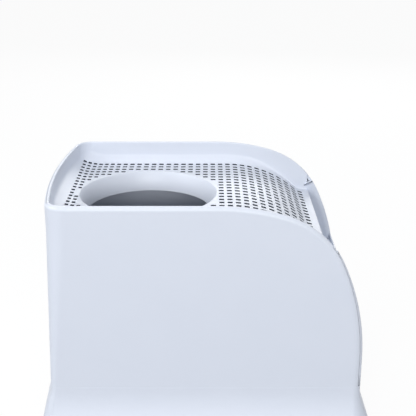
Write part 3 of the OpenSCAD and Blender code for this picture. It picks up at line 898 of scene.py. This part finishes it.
def lid_rim_section(radius):
    """The lid's rim, from the inner face of its wall, over the top, to its outer wall."""
    soft, drop = RIM_INNER_SOFT, arc_drop(LID_INNER, radius)
    crown = LID_INNER - soft
    points = [(crown + soft * cos(turn), soft - soft * sin(turn) + drop) for turn in steps(0, 90, 5)]
    points += [(d, arc_drop(d, radius)) for d in steps(crown, LID_EDGE + 0.4, 5)[1:]]
    drop = arc_drop(LID_EDGE, radius)
    points += [(LID_EDGE + 0.1, drop + 0.1), (LID_EDGE, drop + 0.5), (LID_EDGE, drop + WALL - 0.5)]
    return points + [(LID_OUTER, drop + WALL)]


def lid_stations():
    """Rim stations of the lid paired with the sheet's edge, from the lip to the rear middle."""
    made = []
    for q, n, width in deck_edge():
        if q[0] > NOSE_START:
            station = nose_station(nose_turn(q[0], RIM_INNER_SOFT))
        else:
            station = rim_station(q, n)
        made.append((station, q, n, width))
    return made


def lid_half(skin):
    """The lid's near half: its wall from the sheet's edge over the rim and down outside."""
    inner, rims, outer = [], [], []
    for station, q, n, width in lid_stations():
        rim = station.lay(chain(lid_rim_section(station.radius), -1), rim_edge)
        inner.append(fillet_curve(q, n, width) + [(rim[0][0], n, n, 0.0)])
        rims.append(rim)
        under, foot = q + n * (LID_INNER + width), q + n * LID_OUTER
        under[2] = deck_under(under[0], under[1])
        foot[2] = min(LIP_Z, under[2]) if q[0] >= LIP_START - 1e-6 else under[2]
        outer.append([(rim[-1][0], -n, -n, 0.0), (foot, -n, -UP, 0.0), (under, -UP, -UP, 0.0)])
    for part in (inner, rims, outer):
        sweep(skin, part)
    # the end of the wall at the lip
    ring = [p for p, *_ in inner[0]] + [p for p, *_ in rims[0]][1:] + [outer[0][1][0]]
    ring.append(np.array([LIP_START, -HALF_W + LID_OUTER, LIP_Z]))
    skin.face([r for r in ring if r[2] >= LIP_Z - 1e-6], ALONG)


def lip(skin):
    """The rounded lip and its turned down edge, across the lid."""
    edge, back = LIP_Z - LIP_EDGE_H, LIP_X - DECK_T
    points = [(LIP_START, LIP_Z)]
    points += [(LIP_START + LIP_SOFT * sin(t), LIP_Z - LIP_SOFT + LIP_SOFT * cos(t)) for t in steps(0, 90, 6)[1:]]
    points += [(LIP_X, edge + 0.6), (LIP_X - 0.6, edge), (back + 0.6, edge), (back, edge + 0.6)]
    section = chain(points + [(back, LIP_Z - DECK_T), (LIP_START, LIP_Z - DECK_T)], -1)

    # the lip's rounded top is painted lighter, for wear and as a painted highlight
    def worn(x, z):
        return 0.7 if x > LIP_START and z > LIP_Z - LIP_SOFT else 0.0

    ys = [-HALF_W + LID_OUTER] + steps(-SHEET_HALF, SHEET_HALF, 24) + [HALF_W - LID_OUTER]
    stations = [Station((0, y, 0), ALONG, UP, 0).lay(section, worn) for y in ys]
    sweep(skin, stations)
    for k, way in ((0, -1), (-1, 1)):
        skin.face([p for p, *_ in stations[k]], (0, way, 0))


def make_lid():
    skin = Skin()
    lid_half(skin)
    skin.mirror()
    deck_sheet(skin)
    lip(skin)
    skin.build("perforated_deck_lid", "lid", "deck", "deck_lid")


# ---- entry ring
RING_FIT, RING_WALL, FUNNEL_BEND = 0.2, 3, 1.5


def make_ring():
    """The dished ring: one soft slope from the deck down to the edge of the hole."""
    outer, bottom = RING_R - RING_FIT, DECK_Z - FUNNEL_H
    points = [(outer, DECK_Z - 2 * RING_FIT), (outer, DECK_Z - DECK_T - 4)]
    points += [(ENTRY_R + RING_WALL, bottom), (ENTRY_R, bottom)]
    for turn in steps(90, 6, 16)[1:]:
        r = RING_R - (RING_R - ENTRY_R) * sin(turn) ** FUNNEL_BEND
        points.append((r, bottom + FUNNEL_H * cos(turn) ** FUNNEL_BEND))
    section = chain(rounded(points, [0, 2, 1, 1.2] + [0] * 16), 1, closed=True)

    def worn(r, z):
        return 0.5 if z < bottom + 3 and r < ENTRY_R + 2 else 0.0

    skin = Skin()
    sweep(skin, [Station(RING_AXIS, facing(turn), UP, 0).lay(section, worn) for turn in steps(0, 360, 144)])
    skin.build("entry_ring", "lid", "deck", "entry_collar")


# ---- pan
PAN_INSET, PAN_RIM_W, PAN_T = 22, 5, 3
PAN_CORNER_R, PAN_FLOOR = 9, 12


def make_pan():
    low, top = pan_low.z, pan_high.z
    centre = np.array([pan_high.x - PAN_CORNER_R, PAN_CORNER_R - (HALF_W - PAN_INSET), 0])
    half = [(np.array([pan_high.x, 0, 0]), -ALONG)]
    half += [(centre + PAN_CORNER_R * facing(turn), -facing(turn)) for turn in steps(0, -90, 8)]
    half += [(q + n * PAN_INSET, n) for q, n in rear_stations()]
    points = [(PAN_FLOOR, low), (0, low), (0, top - PAN_T), (-PAN_RIM_W, top - PAN_T)]
    points += [(-PAN_RIM_W, top), (PAN_T, top), (PAN_T, low + PAN_T), (PAN_FLOOR, low + PAN_T)]
    section = chain(rounded(points, [0, 5, 1, 1, 1.2, 1.2, 5, 0], closed=False), 1)
    front = np.array([pan_high.x, math.inf, math.inf])

    def worn(d, z):
        return 0.6 if z > top - 2 else 0.0

    skin = Skin()
    stations = [lay(section, lambda d, z: np.minimum(q + n * d + UP * z, front), n, UP, worn) for q, n in half]
    sweep(skin, stations)
    for k, way in ((0, -1), (-1, 1)):
        skin.face([s[k][0] for s in stations], way * UP)
    skin.mirror()
    skin.build("pan_tub", "drawer", "pan", "litter_pan")


# ---- drawer front
def shrink(points, by):
    """A closed polygon with each point moved to its inner side by the same distance."""
    pts = [np.array(p, float) for p in points]
    area = sum(a[0] * b[1] - a[1] * b[0] for a, b in zip(pts, pts[1:] + pts[:1]))
    side = 1 if area > 0 else -1
    made = []
    for k, p in enumerate(pts):
        before, after = unit(p - pts[k - 1]), unit(pts[(k + 1) % len(pts)] - p)
        n = [side * np.array([-t[1], t[0]]) for t in (before, after)]
        both = unit(n[0] + n[1])
        made.append(p + both * by / max(0.35, float(both @ n[0])))
    return made


def extruded(skin, polygon, low, high, soft):
    """A side view polygon (x, z) extruded across the box with softened ends."""
    section = chain(polygon, 1, closed=True, limit=40)
    small = shrink(polygon, soft)
    ends = []
    for y, way in ((low, -1), (high, 1)):
        out = np.array([0, way, 0])
        ends.append([((x, y, z), out, out, 1.0) for x, z in small + small[:1]])
        skin.face([(x, y, z) for x, z in small], out)
    middle = [Station((0, y, 0), ALONG, UP, 0).lay(section, lambda x, z: 0.4) for y in (low + soft, high - soft)]
    sweep(skin, [ends[0], *middle, ends[1]])


def front_outline(inset, low, high):
    """The front's side profile between two heights, from bottom to top, moved inwards."""
    turns = steps(90, 60, 60)
    points = [p for p in (nose_at(turn, inset) for turn in turns) if low < p[1] < high]
    along = nose_at(turns[len(points)], inset) - points[-1]
    return points + [points[-1] + (high - points[-1][1]) / along[1] * along]


SCREW_Y, SCREW_ZS = 118, (46, 128)
BOSS_D = 12
SHELF_Z = (198, 201)


def make_front():
    low, top = front_low.z, front_high.z
    shelf_low, shelf_top = SHELF_Z
    flare = [(flare_at(z, 1), z) for z in FLARE_LEVELS] + [(FLARE, FOOT_Z), (FLARE, low)]
    outer = front_outline(0, SEAM_Z, top)
    inner = front_outline(WALL, shelf_top, top)
    inner_low = front_outline(WALL, SEAM_Z, shelf_low)
    start = inner[0] + (inner[0] - inner[1]) * (inner[0][1] - shelf_top) / (inner[1][1] - inner[0][1])
    polygon = [(HALF_L + out, z) for out, z in flare[::-1]] + [(HALF_L, SEAM_Z)] + outer[:-1]
    polygon += fillet(outer[-1], outer[-2], inner[-1], 1.4, 4) + fillet(inner[-1], outer[-1], inner[-2], 1.2, 4)
    polygon += inner[-2:0:-1]
    polygon += fillet((start[0], shelf_top), inner[1], (front_low.x, shelf_top), 3, 4)
    polygon += [(front_low.x, shelf_top), (front_low.x, shelf_low), (inner_low[-1][0], shelf_low)]
    polygon += inner_low[-2::-1]
    polygon += [(HALF_L - WALL, SEAM_Z)] + [(HALF_L - WALL + out, z) for out, z in flare]
    skin = Skin()
    extruded(skin, polygon, front_low.y, front_high.y, 0.8)
    length = HALF_L - WALL / 2 - pan_high.x - SINK
    for y in (-SCREW_Y, SCREW_Y):
        for z in SCREW_ZS:
            rod(skin, (pan_high.x + SINK, y, z), ALONG, BOSS_D / 2, length)
    skin.build("drawer_panel", "drawer", "shell", "drawer_front")


# ---- materials
class Nodes:
    """Short hand for the nodes and links of a material or a world."""

    def __init__(self, owner):
        owner.use_nodes = True
        self.owner, self.tree = owner, owner.node_tree
        found = self.tree.nodes
        self.shader = found.get("Principled BSDF") or found["Background"]
        self.output = found.get("Material Output") or found["World Output"]

    def add(self, kind, inputs=None, **settings):
        """A new node; an input is a value or the socket that it is linked to."""
        node = self.tree.nodes.new(kind)
        for key, value in settings.items():
            setattr(node, key, value)
        for key, value in (inputs or {}).items():
            if isinstance(value, bpy.types.NodeSocket):
                self.tree.links.new(value, node.inputs[key])
            else:
                node.inputs[key].default_value = value
        return node

    def math(self, operation, first, second, **settings):
        return self.add("ShaderNodeMath", {0: first, 1: second}, operation=operation, **settings).outputs[0]

    def noise(self, coords, scale, detail, rough=0.5):
        inputs = {"Vector": coords, "Scale": scale, "Detail": detail, "Roughness": rough}
        return self.add("ShaderNodeTexNoise", inputs).outputs["Fac"]

    def blend(self, share, first, second):
        """A colour between two, each a linear colour or a socket."""
        return self.add("ShaderNodeMix", {0: share, 6: first, 7: second}, data_type="RGBA").outputs[2]

    def link(self, socket, name):
        self.tree.links.new(socket, self.shader.inputs[name])

    def seen_white(self, white, share=1.0):
        """Shows another shader where a ray comes from the camera, a mirror or a clear piece."""
        path = self.add("ShaderNodeLightPath").outputs
        seen = self.math("MAXIMUM", path["Is Camera Ray"], path["Is Glossy Ray"])
        seen = self.math("MAXIMUM", seen, path["Is Transmission Ray"])
        seen = self.math("MULTIPLY", seen, share)
        mix = self.add("ShaderNodeMixShader", {0: seen, 1: self.shader.outputs[0], 2: white.outputs[0]})
        self.tree.links.new(mix.outputs[0], self.output.inputs["Surface"])


def linear(colour):
    """An sRGB colour as linear RGBA."""
    return tuple(c / 12.92 if c <= 0.04045 else ((c + 0.055) / 1.055) ** 2.4 for c in colour) + (1.0,)


# the dark colour painted on the slot walls as shade
PAINTED_SLOT_SHADE_COLOUR = (0.15, 0.19, 0.25)
# the last scale sets the patches where edges are painted lighter, for wear and as a painted highlight
CLOUD_SCALE, SMUDGE_SCALE, EDGE_WEAR_AND_HIGHLIGHT_SCALE = 14, 32, 160


def plastic(name, colour, deep, rough, grain, grain_scale, worn_and_highlight_edge_colour=None):
    """Moulded plastic: a fine texture, slow changes of tone, edges painted lighter for wear and as a highlight, slot
    walls painted dark as shade, and patchy gloss.
    """
    m = Nodes(bpy.data.materials.new(name))
    coords = m.add("ShaderNodeTexCoord").outputs["Object"]
    result = m.blend(m.noise(coords, CLOUD_SCALE, 3.0, 0.55), linear(deep), linear(colour))
    if worn_and_highlight_edge_colour:
        # edges are painted lighter in patches, for wear and as a painted highlight
        edge = m.add("ShaderNodeAttribute", attribute_name="edge").outputs["Fac"]
        amount = m.math("MULTIPLY", edge, m.noise(coords, EDGE_WEAR_AND_HIGHLIGHT_SCALE, 4.0), use_clamp=True)
        result = m.blend(amount, result, linear(worn_and_highlight_edge_colour))
        # slot walls, marked by negative edge values, are painted dark as shade
        result = m.blend(m.math("MULTIPLY", edge, -1.0, use_clamp=True), result, linear(PAINTED_SLOT_SHADE_COLOUR))
    m.link(result, "Base Color")
    smudge = m.noise(coords, SMUDGE_SCALE, 5.0, 0.6)
    gloss = {"Value": smudge, "To Min": rough - 0.07, "To Max": rough + 0.09}
    m.link(m.add("ShaderNodeMapRange", gloss).outputs[0], "Roughness")
    pores = m.add("ShaderNodeTexVoronoi", {"Vector": coords, "Scale": grain_scale * 0.6})
    height = m.math("ADD", m.noise(coords, grain_scale, 2.0, 0.7), pores.outputs["Distance"])
    m.link(m.add("ShaderNodeBump", {"Height": height, "Strength": 1.0, "Distance": grain}).outputs[0], "Normal")
    m.shader.inputs["Specular IOR Level"].default_value = 0.4
    return m.owner


PLASTICS = {
    # slot: name, colour, deeper colour, roughness, depth in metres and scale of the grain, colour of edges, painted
    # lighter for wear and as a highlight
    "shell": ("shell_plastic", (0.862, 0.884, 0.928), (0.85, 0.874, 0.92), 0.42, 0.00003, 900, (0.93, 0.95, 0.985)),
    "deck": ("deck_plastic", (0.872, 0.892, 0.934), (0.86, 0.882, 0.926), 0.4, 0.00003, 900, (0.94, 0.955, 0.985)),
    "pan": ("pan_plastic", (0.31, 0.345, 0.4), (0.285, 0.32, 0.375), 0.5, 0.00005, 700, (0.4, 0.43, 0.48)),
    "runner": ("runner_acetal", (0.93, 0.93, 0.915), (0.9, 0.9, 0.885), 0.35, 0.00002, 800),
    "rubber": ("foot_rubber", (0.2, 0.21, 0.225), (0.16, 0.168, 0.18), 0.78, 0.00012, 1200),
}
STEEL_DARK, STEEL_LIGHT = (0.7, 0.71, 0.73), (0.8, 0.81, 0.82)


def make_steel():
    m = Nodes(bpy.data.materials.new("zinc_plated_steel"))
    coords = m.add("ShaderNodeTexCoord").outputs["Object"]
    spangle = m.add("ShaderNodeTexVoronoi", {"Vector": coords, "Scale": 900.0})
    m.link(m.blend(spangle.outputs["Distance"], linear(STEEL_DARK), linear(STEEL_LIGHT)), "Base Color")
    scratch = m.noise(coords, 1500.0, 4.0)
    m.link(m.add("ShaderNodeMapRange", {"Value": scratch, "To Min": 0.25, "To Max": 0.45}).outputs[0], "Roughness")
    m.link(m.add("ShaderNodeBump", {"Height": scratch, "Strength": 1.0, "Distance": 0.00001}).outputs[0], "Normal")
    m.shader.inputs["Metallic"].default_value = 1.0
    return m.owner


# ---- carried-over CAD nodes
SOFT_EDGES = {
    "left_runner": 1.0, "right_runner": 1.0, "rubber_feet": 1.2, "drawer_bumper": 1.0, "front_bridge": 0.7,
    "bridge_screws": 0.3, "lid_buffers": 0.3, "left_hinge_pin": 0.3, "right_hinge_pin": 0.3, "front_screws": 0.3,
}
BEVEL_TURN = 35


def dress_cad():
    """Gives the CAD nodes that stay their material and soft edges."""
    slots = {row["node"]: row["material_slot"] for row in frame["record"]["subparts"]}
    for node, soft in SOFT_EDGES.items():
        piece = frame["nodes"][node]
        piece.data.materials.clear()
        piece.data.materials.append(MATERIALS[slots[node]])
        bevel = piece.modifiers.new("soft_edges", "BEVEL")
        bevel.width = soft * MM
        bevel.segments = 2
        bevel.limit_method = "ANGLE"
        bevel.angle_limit = math.radians(BEVEL_TURN)


# ---- stage, lamps and camera
FLOOR_HALF = 40.0
# the floor's colour for the camera and for light that bounces off it, and how much of the white it shows
FLOOR_SEEN, FLOOR_BOUNCE, FLOOR_ROUGH = (0.99, 0.99, 0.99), (0.6, 0.6, 0.61), 0.9
FLOOR_GLOW = 0.92
SKY_COLOUR, SKY_STRENGTH = (0.93, 0.96, 1.0, 1), 0.48
WHITE = (1, 1, 1, 1)
# name, place, width and height, and watts
LAMPS = (
    ("front_soft", (0.0, -3.1, 1.22), (2.4, 0.5), 53),
    ("top_soft", (-0.5, 0.3, 2.4), (1.2, 1.2), 10),
    ("left_soft", (-2.2, -0.6, 1.5), (1.2, 1.2), 19),
    ("rear_soft", (0.5, 3.1, 1.5), (2.4, 0.8), 26),
)
LAMP_AIM = Vector((0, 0, 0.3))
# where the photograph was taken from: level in roll, looking along +Y and down
CAMERA_PLACE, CAMERA_DOWN = (0.007308, -1.469745, 0.873837), 20.082
SENSOR_W, LENS = 36, 73.386


def make_floor():
    s = FLOOR_HALF
    mesh = bpy.data.meshes.new("floor")
    mesh.from_pydata([(-s, -s, 0), (s, -s, 0), (s, s, 0), (-s, s, 0)], [], [(0, 1, 2, 3)])
    floor = put("floor", mesh)
    m = Nodes(bpy.data.materials.new("pale_floor"))
    m.shader.inputs["Roughness"].default_value = FLOOR_ROUGH
    path = m.add("ShaderNodeLightPath")
    m.link(m.blend(path.outputs["Is Camera Ray"], linear(FLOOR_BOUNCE), linear(FLOOR_SEEN)), "Base Color")
    m.seen_white(m.add("ShaderNodeEmission", {"Color": WHITE, "Strength": 1.0}), FLOOR_GLOW)
    mesh.materials.append(m.owner)


def make_world():
    world = bpy.data.worlds.new("studio")
    bpy.context.scene.world = world
    m = Nodes(world)
    m.shader.inputs["Color"].default_value = SKY_COLOUR
    m.shader.inputs["Strength"].default_value = SKY_STRENGTH
    m.seen_white(m.add("ShaderNodeBackground", {"Color": WHITE, "Strength": 1.0}))


def make_lamps():
    for name, place, size, power in LAMPS:
        data = bpy.data.lights.new(name, "AREA")
        data.shape = "RECTANGLE"
        data.size, data.size_y = size
        data.energy = power
        lamp = put(name, data)
        lamp.location = place
        lamp.rotation_euler = (LAMP_AIM - Vector(place)).to_track_quat("-Z", "Y").to_euler()


def make_camera():
    data = bpy.data.cameras.new("camera")
    data.sensor_width = SENSOR_W
    data.lens = LENS
    camera = put("camera", data)
    camera.location = CAMERA_PLACE
    camera.rotation_euler = (math.radians(90 - CAMERA_DOWN), 0, 0)
    bpy.context.scene.camera = camera


make_camera()
MATERIALS = {slot: plastic(*row) for slot, row in PLASTICS.items()}
MATERIALS["steel"] = make_steel()
make_hood()
make_base()
make_lid()
make_ring()
make_pan()
make_front()
dress_cad()
make_floor()
make_world()
make_lamps()
bpy.context.scene.view_settings.view_transform = "Standard"
